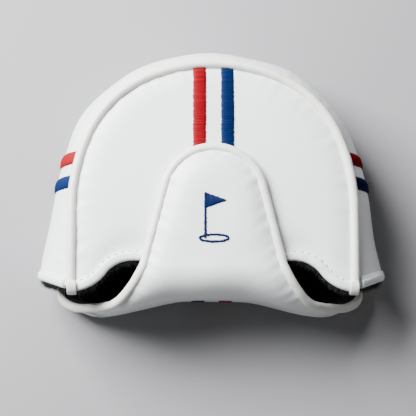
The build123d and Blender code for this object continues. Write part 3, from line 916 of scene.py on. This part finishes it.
class COVER_OT_crown(bpy.types.Operator):
    """Crown: leather skin, foam pad and plush lining under the domed top"""

    bl_idname = "cover.crown"
    bl_label = "Crown"

    def execute(self, context):
        shape = cover()
        skin = shape.crown()
        sizes = shape.sizes
        to_hem = skin[..., 1] - shape.mouth_edge(skin[..., 0])
        thin = (1 - 0.55 * np.exp(-((np.clip(to_hem, 0, 1) / (4 * MM)) ** 2)))[..., None]
        down = np.array([0.0, 0.0, -1.0]) * thin
        depths = np.cumsum([0.0, sizes.leather, sizes.foam, sizes.plush])
        layers = [skin + down * d for d in depths]
        pad = (layers[1] + down * 0.05 * MM, layers[2] - down * 0.05 * MM)
        faces = (layers[:2], pad, layers[2:])
        padded_wall("crown", faces, skin[..., :2], on_pouch, ("crown",), sizes.pile, 9000, 31)
        return {"FINISHED"}


class COVER_OT_gusset(bpy.types.Operator):
    """Gusset: the flaring side wall, leather outside and plush inside"""

    bl_idname = "cover.gusset"
    bl_label = "Gusset"

    def execute(self, context):
        shape = cover()
        sizes = shape.sizes
        skin = shape.gusset()
        share = np.linspace(1, -1, skin.shape[0])[:, None]
        z = skin[..., 2]
        uv = stack(share * GUSSET_HALF_LENGTH, z)
        depths = np.cumsum([0.0, sizes.leather, sizes.foam, sizes.plush])
        layers = []
        for depth in depths:
            height = np.clip(z, depth + 1.6 * MM, shape.high - depth - 1.6 * MM)
            out = shape.gusset_relief(share, z) - depth
            x, y, heading = shape.wall_outline(share, z, out, shape.gusset_mouth(z) + 0.5 * MM)
            layers.append(stack(x, y, height))
        faces = (layers[:2], layers[1:3], layers[2:])
        padded_wall("gusset", faces, uv, on_pouch, ("gusset",), sizes.pile, 11000, 33)
        return {"FINISHED"}


class COVER_OT_sheets(bpy.types.Operator):
    """Sole and flap: one padded sheet, sewn across the front, that rolls over the mouth"""

    bl_idname = "cover.sheets"
    bl_label = "Sole and flap"

    def execute(self, context):
        shape = cover()
        sizes = shape.sizes
        depths = np.cumsum([0.0, sizes.leather, sizes.foam, sizes.plush])
        parts = (
            ("flap", shape.flap_edge(260), 90, over_upper_fold, ("wrap", "tongue"), 6000),
            ("sole", shape.sole_edge(260), 110, over_lower_fold, ("sole",), 12000),
        )
        for name, (width, station), columns, fix, nodes, count in parts:
            across = np.sin(np.linspace(-pi / 2, pi / 2, columns))[None]
            x = across * np.maximum(width - 0.9 * MM, 1e-5)[:, None]
            s = np.broadcast_to(station[:, None], x.shape)
            uv = np.stack([x, s], -1)
            layers = [shape.layer(x, s, d) for d in depths]
            pad = (shape.layer(x, s, depths[1] + 0.08 * MM), layers[2])
            faces = (layers[:2], pad, layers[2:])
            padded_wall(name, faces, uv, fix, nodes, sizes.pile * 0.5, count, 35)
        return {"FINISHED"}


class COVER_OT_piping(bpy.types.Operator):
    """Piping round the crown, the sole and the flap, with the cord inside each"""

    bl_idname = "cover.piping"
    bl_label = "Piping"

    def run(self, name, path, up, fix, nodes):
        made = materials()
        along = lengths_along(path)
        wobble = 1 + 0.02 * waves(along, 41, (6 * MM, 9.5 * MM, 17 * MM))
        profile = circle(1.0)[None] * (PIPING * wobble)[:, None, None]
        piece = swept(f"{name}_piping_sleeve", path, up, profile, made["piping_leather"])
        fix(piece, "piping_leather", *[f"{n}_piping" for n in nodes])
        core = swept(f"{name}_piping_core", path, up, circle(CORD_RADIUS, 10), made["cotton_cord"])
        fix(core, "cotton_cord", *[f"{n}_piping_cord" for n in nodes])

    def execute(self, context):
        shape = cover()
        share = np.linspace(-1, 1, 420)
        x, y, heading = shape.outline(share, 0.0, CROWN_LAST_TURN, shape.corner + 0.8 * MM)
        path = stack(x, y, shape.high - 1.0 * MM + 0.15 * MM * waves(share * 0.16, 43, (0.04, 0.07)))
        self.run("crown", path, np.array([0.0, 0.0, 1.0]), on_pouch, ("crown",))
        for name, (width, station), fix, nodes in (
            ("flap", shape.flap_edge(420), over_upper_fold, ("wrap", "tongue")),
            ("sole", shape.sole_edge(420), over_lower_fold, ("sole",)),
        ):
            depth = shape.piping_depth(station)
            right = shape.sheet(width, station, depth)
            up = shape.sheet(width, station, depth - 1 * MM) - right
            mirrored = np.array([-1.0, 1.0, 1.0])
            path = np.concatenate([right[:-1] * mirrored, right[::-1]])
            self.run(name, path, unit(np.concatenate([up[:-1] * mirrored, up[::-1]])), fix, nodes)
        return {"FINISHED"}


class COVER_OT_hems(bpy.types.Operator):
    """Bound hems of the mouth, their topstitching, and the piping's folded ends"""

    bl_idname = "cover.hems"
    bl_label = "Hems"

    def profile(self, thickness):
        """A soft roll round the wall's raw edge, nearly flat on both faces, with a ditch for the stitches."""
        half = bpy.context.scene.cover_sizes.hem_width / 2
        turn = np.linspace(0, 2 * pi, 36, endpoint=False)
        side = half * np.sign(np.cos(turn)) * np.abs(np.cos(turn)) ** 0.8
        rise = thickness / 2 * np.sign(np.sin(turn)) * np.abs(np.sin(turn)) ** 0.75
        ditch = 0.5 * MM * np.exp(-(((side + half * STITCH_PLACE) / (0.5 * MM)) ** 2)) * (rise > 0)
        return np.stack([side, rise - ditch], -1)

    def hem(self, part, end, path, up):
        """A hem along a path, with its row of topstitches."""
        made = materials()
        half = bpy.context.scene.cover_sizes.hem_width / 2
        piece = swept(f"{part}_hem{end}", path, up, self.profile(HEM_THICKNESS), made["white_leather"])
        on_pouch(piece, "white_leather", f"{part}_binding{end}")
        side = unit(np.cross(unit(np.gradient(path, axis=0)), up))
        row = path - side * half * STITCH_PLACE + up * (HEM_THICKNESS / 2 - 0.5 * MM)
        stitches = stitch_row(f"{part}_hem_stitches{end}", row, up, made["white_thread"])
        on_pouch(stitches, "piping_leather")

    def execute(self, context):
        shape = cover()
        half = shape.sizes.hem_width / 2
        x = np.linspace(-57.5, 57.5, 300) * MM
        y = shape.mouth_edge(x) + half - 1.0 * MM
        z = shape.crown_height(x, y + 2.5 * MM) - HEM_THICKNESS / 2 + 0.9 * MM
        z = z + 0.12 * MM * waves(x, 51, (7 * MM, 11 * MM, 19 * MM))
        path = stack(x, y, z)
        self.hem("crown", "", path, np.broadcast_to([0.0, 0.0, 1.0], path.shape))
        for name, sign in (("left", -1), ("right", 1)):
            z = np.linspace(shape.high - 3.4 * MM, 4.0 * MM, 120)
            mouth = shape.gusset_mouth(z) + half - 1.0 * MM
            out = shape.gusset_relief(1.0, z) - HEM_THICKNESS / 2 + 0.8 * MM
            x, y, heading = shape.wall_outline(1.0, z, out, mouth)
            path = stack(sign * x, y, z)
            outwards = stack(sign * np.sin(heading), np.cos(heading), 0 * z)
            self.hem("gusset", f"_{name}", path[::sign], outwards[::sign])
            self.tab(shape, name, sign)
        return {"FINISHED"}

    def tab(self, shape, name, sign):
        """The piping's sleeve, opened flat and turned down over the corner of the mouth."""
        turn = np.linspace(0.0, 1.0, 40)
        bend = radians(70) + radians(175) * turn
        y = shape.corner + 2.2 * MM + 4.0 * MM * np.cos(bend)
        z = shape.high - 2.8 * MM + 3.9 * MM * np.sin(bend)
        x = np.full(40, PIPING_HIGH.x - PIPING - 0.4 * MM)
        path = stack(sign * x, y, z)
        up = stack(0 * bend, np.cos(bend), np.sin(bend))
        half, thick = 2.0 * MM, 0.45 * MM
        ring = np.linspace(0, 2 * pi, 28, endpoint=False)
        swell = np.interp(turn, (0, 0.15, 0.8, 1.0), (0.8, 1.0, 1.0, 0.9))[:, None]
        profile_side = half * np.sign(np.cos(ring)) * np.abs(np.cos(ring)) ** 0.5 * swell
        profile_rise = thick * np.sign(np.sin(ring)) * np.abs(np.sin(ring)) ** 0.6 * np.ones_like(swell)
        profile = np.stack([profile_side, profile_rise], -1)
        piece = swept(f"piping_end_{name}", path, up, profile, materials()["piping_leather"])
        on_pouch(piece, "piping_leather", f"piping_tab_{name}")


class COVER_OT_fringe(bpy.types.Operator):
    """Fringe: the plush lining's pile, where it stands out past the bound edges of the mouth"""

    bl_idname = "cover.fringe"
    bl_label = "Fringe"

    def execute(self, context):
        shape, made = cover(), materials()
        draw = np.random.default_rng(context.scene.cover_studio.seed)
        count = 4200
        x = draw.uniform(-57, 57, count) * MM
        y = shape.mouth_edge(x) + draw.uniform(0.0, 1.5, count) * MM
        crown = stack(x, y, shape.high - draw.uniform(2.4, 5.4, count) * MM)
        z = draw.uniform(5, 38, count) * MM
        out = -draw.uniform(2.4, 5.2, count) * MM
        mouth = shape.gusset_mouth(z) + draw.uniform(0.0, 1.5, count) * MM
        x, y, heading = shape.wall_outline(1.0, z, out, mouth)
        side = np.where(draw.random(count) < 0.5, -1.0, 1.0)
        base = np.concatenate([crown, stack(side * x, y, z)])
        forwards = np.broadcast_to([0.0, -1.0, 0.15], base.shape)
        points, faces = tufts(base, forwards, 4.6 * MM, 0.28 * MM, draw)
        on_pouch(solid("mouth_fringe", points, faces, made["black_plush"]), "black_plush")
        return {"FINISHED"}


class COVER_OT_stripes(bpy.types.Operator):
    """Embroidered stripes on the crown, the gusset and the sole"""

    bl_idname = "cover.stripes"
    bl_label = "Stripes"

    def execute(self, context):
        shape, made = cover(), materials()
        sizes = shape.sizes
        for colour_name, side in (("red", -1), ("blue", 1)):
            thread = made[f"{colour_name}_thread"]
            slot_name = f"{colour_name}_thread"
            x = np.full(200, side * sizes.stripe_offset)
            y = np.linspace(CROWN_REAR - 1.6 * MM, shape.hem_middle + 2.0 * MM, 200)
            path = stack(x, y, shape.crown_height(x, y))
            across = np.broadcast_to([1.0, 0.0, 0.0], path.shape)
            up = np.broadcast_to([0.0, 0.0, 1.0], path.shape)
            name = f"crown_band_{colour_name}"
            band = satin(name, path, across, up, sizes.stripe, sizes.stripe_relief, thread, 61)
            on_pouch(band, slot_name, f"crown_stripe_{colour_name}")
            last = shape.sole_start + SOLE_STRIPE_REAR - FOLD_Y
            station = np.linspace(shape.seam + 0.4 * MM, last, 400)
            x = np.full(400, -side * sizes.stripe_offset)
            path = shape.layer(x, station, 0.0)
            up = unit(path - shape.layer(x, station, 1 * MM))
            across = np.broadcast_to([1.0, 0.0, 0.0], path.shape)
            name = f"sole_band_{colour_name}"
            band = satin(name, path, across, up, sizes.stripe, SOLE_STRIPE_RELIEF, thread, 63)
            over_lower_fold(band, slot_name, f"sole_stripe_{colour_name}", f"wrap_stripe_{colour_name}")
            for end, sign in (("left", -1), ("right", 1)):
                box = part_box(f"gusset_stripe_{colour_name}_{end}")
                middle = (box[0].y + box[1].y) / 2
                z = np.linspace(3.6 * MM, shape.high - 2.2 * MM, 120)
                path = shape.side_point(sign, middle, z)
                ahead = shape.side_point(sign, middle + 1.5 * MM, z)
                across = unit(ahead - path)
                up = unit(np.cross(across, np.gradient(path, axis=0))) * sign
                up = up * np.sign(up[:, :1] * sign)
                name = f"gusset_band_{colour_name}_{end}"
                band = satin(name, path, across, up, sizes.stripe, sizes.stripe_relief, thread, 65)
                on_pouch(band, slot_name, f"gusset_stripe_{colour_name}_{end}")
        low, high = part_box("gusset_stripe_blue_right")
        spot = shape.side_point(1, (low.y + high.y) / 2 + 1.0 * MM, np.full(5, 26.0 * MM))
        draw = np.random.default_rng(context.scene.cover_studio.seed)
        out = np.broadcast_to([1.0, 0.0, 0.2], spot.shape)
        points, faces = tufts(spot, out, 3.6 * MM, 0.16 * MM, draw)
        on_pouch(solid("loose_thread_ends", points, faces, made["blue_thread"]), "blue_thread")
        return {"FINISHED"}


class COVER_OT_emblem(bpy.types.Operator):
    """A pennant on a stick, standing on an oval green, in satin stitch"""

    bl_idname = "cover.emblem"
    bl_label = "Emblem"

    def execute(self, context):
        shape, made = cover(), materials()
        low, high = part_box("tongue_emblem")
        pole_x = low.x + 3.0 * MM
        foot = low.y + 2.0 * MM

        def lay(x, y):
            """Points on the tongue's skin above (x, y), and their up directions."""
            station = FOLD_Y - y
            path = shape.layer(x, station, 0.0)
            return path, unit(path - shape.layer(x, station, 1 * MM))

        y = np.linspace(foot, high.y, 80)
        path, up = lay(np.full(80, pole_x), y)
        across = np.broadcast_to([1.0, 0.0, 0.0], path.shape)
        bands = [satin_arrays(path, across, up, 1.1 * MM, EMBLEM_RELIEF, EMBLEM_THREAD, 71)]
        x = np.linspace(pole_x + 0.3 * MM, pole_x + 8.5 * MM, 60)
        path, up = lay(x, np.full(60, high.y - 3.3 * MM))
        across = np.broadcast_to([0.0, 1.0, 0.0], path.shape)
        width = np.interp(x, (x[0], x[-1]), (6.6 * MM, 0.5 * MM))
        bands.append(satin_arrays(path, across, up, width, EMBLEM_RELIEF, EMBLEM_THREAD, 73))
        turn = np.linspace(0, 2 * pi, 160)
        centre_x = (low.x + high.x) / 2
        path, up = lay(centre_x + 6.0 * MM * np.cos(turn), foot + 1.45 * MM * np.sin(turn))
        across = unit(stack(1.45 * np.cos(turn), 6.0 * np.sin(turn), 0 * turn))
        bands.append(satin_arrays(path, across, up, 1.0 * MM, EMBLEM_RELIEF, EMBLEM_THREAD, 75))
        vertices, faces, uvs, total = [], [], [], 0
        for rings, uv in bands:
            faces += [[k + total for k in face] for face in tube_faces(*rings.shape[:2])]
            vertices.append(rings.reshape(-1, 3))
            uvs.append(uv.reshape(-1, 2))
            total += len(vertices[-1])
        points, thread = np.concatenate(vertices), made["emblem_thread"]
        piece = solid("tongue_flag", points, faces, thread, np.concatenate(uvs))
        over_upper_fold(piece, "blue_thread", "tongue_emblem")
        return {"FINISHED"}


class COVER_OT_magnets(bpy.types.Operator):
    """Magnets: a pair of discs in the crown's pad and a pair that lies in the tongue's"""

    bl_idname = "cover.magnets"
    bl_label = "Magnets"

    def execute(self, context):
        shape, made = cover(), materials()
        hidden = frame["nodes"]["crown_magnets"].data.materials
        hidden.clear()
        hidden.append(made["magnet_nickel"])
        low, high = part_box("tongue_magnets")
        radius = (high.y - low.y) / 2
        turn = np.linspace(-pi / 2, pi / 2, 25)
        along = (radius * np.sin(turn))[:, None]
        chord = np.linspace(-1, 1, 25)[None] * np.maximum(radius * np.cos(turn), 1e-5)[:, None]
        station = FOLD_Y - (low.y + high.y) / 2 + chord
        sizes = shape.sizes
        depths = (sizes.leather + 0.3 * MM, sizes.leather + sizes.foam - 0.3 * MM)
        discs = []
        for middle in (low.x + radius, high.x - radius):
            x = middle + along + 0 * chord
            faces = [shape.layer(x, station, depth) for depth in depths]
            discs.append(slab_arrays(faces[0], faces[1], np.stack([x, station], -1)))
        vertices = np.concatenate([disc[0] for disc in discs])
        faces = np.concatenate([discs[0][1], discs[1][1] + len(discs[0][0])])
        uv = np.concatenate([disc[2] for disc in discs])
        piece = solid("tongue_magnet_pair", vertices, faces, made["magnet_nickel"], uv)
        over_upper_fold(piece, "magnet_steel", "tongue_magnets")
        return {"FINISHED"}


class COVER_OT_stage(bpy.types.Operator):
    """Plain floor, soft light from the upper left, and the camera nearly overhead"""

    bl_idname = "cover.stage"
    bl_label = "Stage"

    def area(self, name, place, target, size, power):
        light = bpy.data.lights.new(name, "AREA")
        light.shape = "SQUARE"
        light.size = size
        light.energy = power
        lamp = bpy.data.objects.new(name, light)
        lamp.location = place
        lamp.rotation_euler = (target - place).to_track_quat("-Z", "Y").to_euler()
        bpy.context.scene.collection.objects.link(lamp)

    def execute(self, context):
        scene = context.scene
        studio = scene.cover_studio
        corners = stack(np.array([-3, 3, 3, -3]), np.array([-3, -3, 3, 3]), FLOOR_LEVEL)
        material = floor_material("studio_floor", scene.cover_colours.floor)
        floor = make_object("studio_floor", corners, [[0, 1, 2, 3]], material)
        aim = Vector((-2.3 * MM, -14.8 * MM, CROWN_HIGH.z))
        lean = Vector((-tan(studio.yaw), -tan(studio.tilt), 1.0)).normalized()
        data = bpy.data.cameras.new("camera")
        data.sensor_width = 36.0
        data.lens = data.sensor_width * studio.distance / studio.view_width
        camera = bpy.data.objects.new("camera", data)
        camera.location = aim + lean * studio.distance
        above = (Vector((0, 1, 0)) - lean * lean.y).normalized()
        axes = Matrix((above.cross(lean), above, lean)).transposed()
        camera.rotation_euler = axes.to_euler()
        scene.collection.objects.link(camera)
        scene.camera = camera
        middle = Vector((0, 0, 0.02))
        self.area("key", Vector((-0.38, 0.31, 0.44)), middle, 0.42, studio.key)
        self.area("fill", Vector((0.7, -0.5, 0.6)), middle, 0.8, studio.fill)
        world = bpy.data.worlds.new("studio")
        world.use_nodes = True
        background = world.node_tree.nodes["Background"]
        background.inputs["Color"].default_value = (1.0, 1.0, 1.0, 1.0)
        background.inputs["Strength"].default_value = studio.ambient
        scene.world = world
        return {"FINISHED"}


OPERATORS = (
    COVER_OT_crown,
    COVER_OT_gusset,
    COVER_OT_sheets,
    COVER_OT_piping,
    COVER_OT_hems,
    COVER_OT_fringe,
    COVER_OT_stripes,
    COVER_OT_emblem,
    COVER_OT_magnets,
    COVER_OT_stage,
)


class COVER_PT_panel(bpy.types.Panel):
    """Lists the cover's operators"""

    bl_idname = "COVER_PT_panel"
    bl_label = "Putter cover"
    bl_space_type = "VIEW_3D"
    bl_region_type = "UI"
    bl_category = "Cover"

    def draw(self, context):
        for operator in OPERATORS:
            self.layout.operator(operator.bl_idname)


CLASSES = (CoverSizes, CoverColours, StudioSettings, *OPERATORS, COVER_PT_panel)


def register():
    for item in CLASSES:
        bpy.utils.register_class(item)
    bpy.types.Scene.cover_sizes = PointerProperty(type=CoverSizes)
    bpy.types.Scene.cover_colours = PointerProperty(type=CoverColours)
    bpy.types.Scene.cover_studio = PointerProperty(type=StudioSettings)


def unregister():
    del bpy.types.Scene.cover_studio
    del bpy.types.Scene.cover_colours
    del bpy.types.Scene.cover_sizes
    for item in reversed(CLASSES):
        bpy.utils.unregister_class(item)


def main():
    register()
    bpy.ops.cover.crown()
    bpy.ops.cover.gusset()
    bpy.ops.cover.sheets()
    bpy.ops.cover.piping()
    bpy.ops.cover.hems()
    bpy.ops.cover.fringe()
    bpy.ops.cover.stripes()
    bpy.ops.cover.emblem()
    bpy.ops.cover.magnets()
    bpy.ops.cover.stage()


if __name__ == "__main__":
    main()
